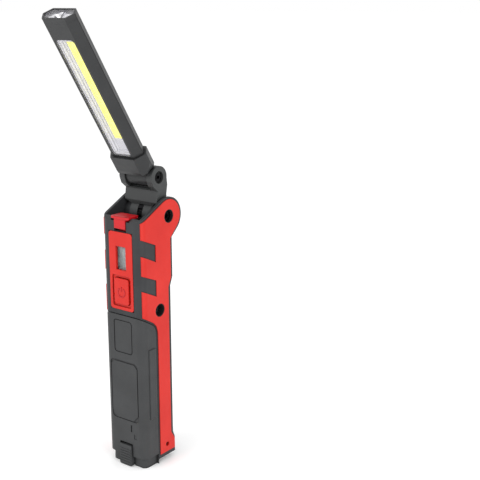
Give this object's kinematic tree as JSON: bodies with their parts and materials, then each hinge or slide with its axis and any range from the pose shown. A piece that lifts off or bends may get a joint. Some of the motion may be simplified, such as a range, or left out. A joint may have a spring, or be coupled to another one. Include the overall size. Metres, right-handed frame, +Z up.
{
  "type": "work light",
  "caption": "folding rechargeable work light: handle with slide-in battery, control panel and magnet foot, carrying a flat lamp wand on a two-hinge link",
  "frame": {"origin": "centre of the round magnet foot's bottom face, which stands on the ground", "axes": "+Z up along the handle; -Y is the front, where the control panel, the battery and the lamp face; +X is the side with the bolt head"},
  "size_m": [0.0416, 0.1053, 0.3578],
  "materials": {
    "black_plastic": "fine moulded texture",
    "battery_plastic": "fine moulded texture, polished raised panels",
    "red_plastic": "satin moulded",
    "lever_red": "satin moulded",
    "wand_plastic": "satin black",
    "link_plastic": "fine moulded texture",
    "dark_steel": "black oxide",
    "bright_steel": "zinc plated",
    "nickel": "bright nickel",
    "magnet": "sintered, ground",
    "rubber": "soft",
    "reflector_white": "white, glossy",
    "reflector_chrome": "metallised",
    "lamp_clear": "clear moulded",
    "display_clear": "clear moulded",
    "display_grey": "liquid crystal film",
    "led_yellow": "phosphor gel",
    "board_green": "solder mask",
    "board_white": "white solder mask",
    "chip_black": "moulded",
    "aluminium_bar": "milled",
    "contact_brass": "bright",
    "cell_wrap": "shrink wrap"
  },
  "bodies": {
    "handle": {"housing_left": "black_plastic", "housing_right": "black_plastic", "side_panel_left": "red_plastic", "side_panel_right": "red_plastic", "control_panel": "red_plastic", "display_window": "display_clear", "display_module": "display_grey", "control_board": "board_green", "board_screws": "bright_steel", "board_chips": "chip_black", "driver_coil": "chip_black", "tactile_switch": "chip_black", "battery_terminal_block": "black_plastic", "terminal_blades": "contact_brass", "case_screws": "dark_steel", "pivot_bolt": "dark_steel", "pivot_nut": "dark_steel", "hinge_washers": "bright_steel", "lock_spring": "bright_steel", "magnet_cup": "nickel", "magnet_disc": "magnet", "magnet_pad": "rubber", "magnet_screw": "dark_steel"},
    "lock": {"lock_lever": "lever_red"},
    "button": {"power_button": "red_plastic"},
    "battery": {"battery_case_front": "battery_plastic", "battery_case_back": "battery_plastic", "battery_cells": "cell_wrap", "cell_tabs": "contact_brass", "battery_board": "board_green", "battery_clips": "contact_brass", "battery_screws": "dark_steel", "latch_pin": "bright_steel"},
    "latch": {"battery_latch": "battery_plastic"},
    "link": {"link_arm": "link_plastic", "detent_ring": "dark_steel", "tilt_bolt": "dark_steel", "tilt_nut": "dark_steel", "tilt_washers": "bright_steel"},
    "wand": {"wand_collar": "wand_plastic", "wand_front_shell": "wand_plastic", "wand_back_shell": "wand_plastic", "wand_reflector": "reflector_white", "wand_window": "lamp_clear", "led_board": "board_white", "led_strip": "led_yellow", "heat_spreader": "aluminium_bar", "tip_ring": "wand_plastic", "tip_lens": "lamp_clear", "tip_reflector": "reflector_chrome", "tip_led": "led_yellow", "tip_led_board": "board_white", "wand_screws": "dark_steel"}
  },
  "joints": [
    {"name": "fold_hinge", "type": "hinge", "parent": "handle", "child": "link", "pos_m": [0, 0.0008, 0.2022], "axis": [-1, 0, 0], "range_deg": [0, 178]},
    {"name": "tilt_hinge", "type": "hinge", "parent": "link", "child": "wand", "pos_m": [0, -0.0049, 0.23277], "axis": [1, 0, 0], "range_deg": [-33, 84]},
    {"name": "lock_slide", "type": "slide", "parent": "handle", "child": "lock", "axis": [0, 0, -1], "range_m": [0, 0.0015], "stiffness_N_per_m": 900, "springref_m": -0.001, "deforming": ["lock_spring"]},
    {"name": "power_press", "type": "slide", "parent": "handle", "child": "button", "axis": [0, 1, 0], "range_m": [0, 0.0008], "stiffness_N_per_m": 1500, "springref_m": -0.0004},
    {"name": "battery_slide", "type": "slide", "parent": "handle", "child": "battery", "axis": [0, 0, -1], "range_m": [0, 0.13]},
    {"name": "latch_press", "type": "hinge", "parent": "battery", "child": "latch", "pos_m": [0, -0.0296, 0.009], "axis": [1, 0, 0], "range_deg": [0, 8], "stiffness_Nm_per_rad": 0.5, "springref_deg": -5.73}
  ]
}
